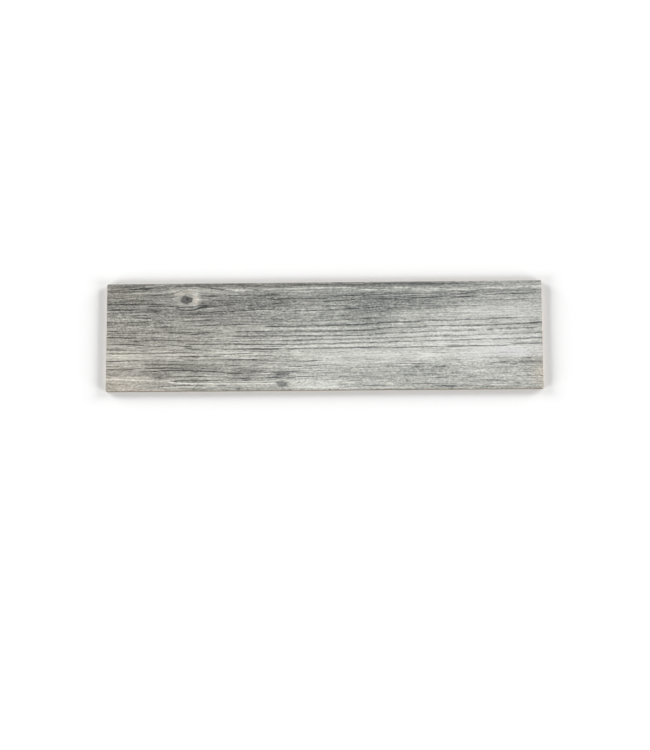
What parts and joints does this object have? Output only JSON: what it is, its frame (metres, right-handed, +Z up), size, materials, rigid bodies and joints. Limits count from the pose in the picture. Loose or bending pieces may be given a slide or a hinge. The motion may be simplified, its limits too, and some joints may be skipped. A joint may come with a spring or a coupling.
{
  "type": "wood look porcelain plank tile",
  "caption": "Flat rectangular porcelain plank tile with a matte weathered-wood print, eased face edges and a waffle-keyed back, for laying on floors and walls.",
  "frame": {"origin": "centre of the back, on the plane of its key ribs, where the two middle ribs cross", "axes": "+X along the plank's length, +Y across its width, +Z up through the printed face"},
  "size_m": [0.6, 0.15, 0.009],
  "materials": {
    "printed_porcelain": "matte"
  },
  "bodies": {
    "root": {"plank_tile": "printed_porcelain"}
  },
  "joints": []
}
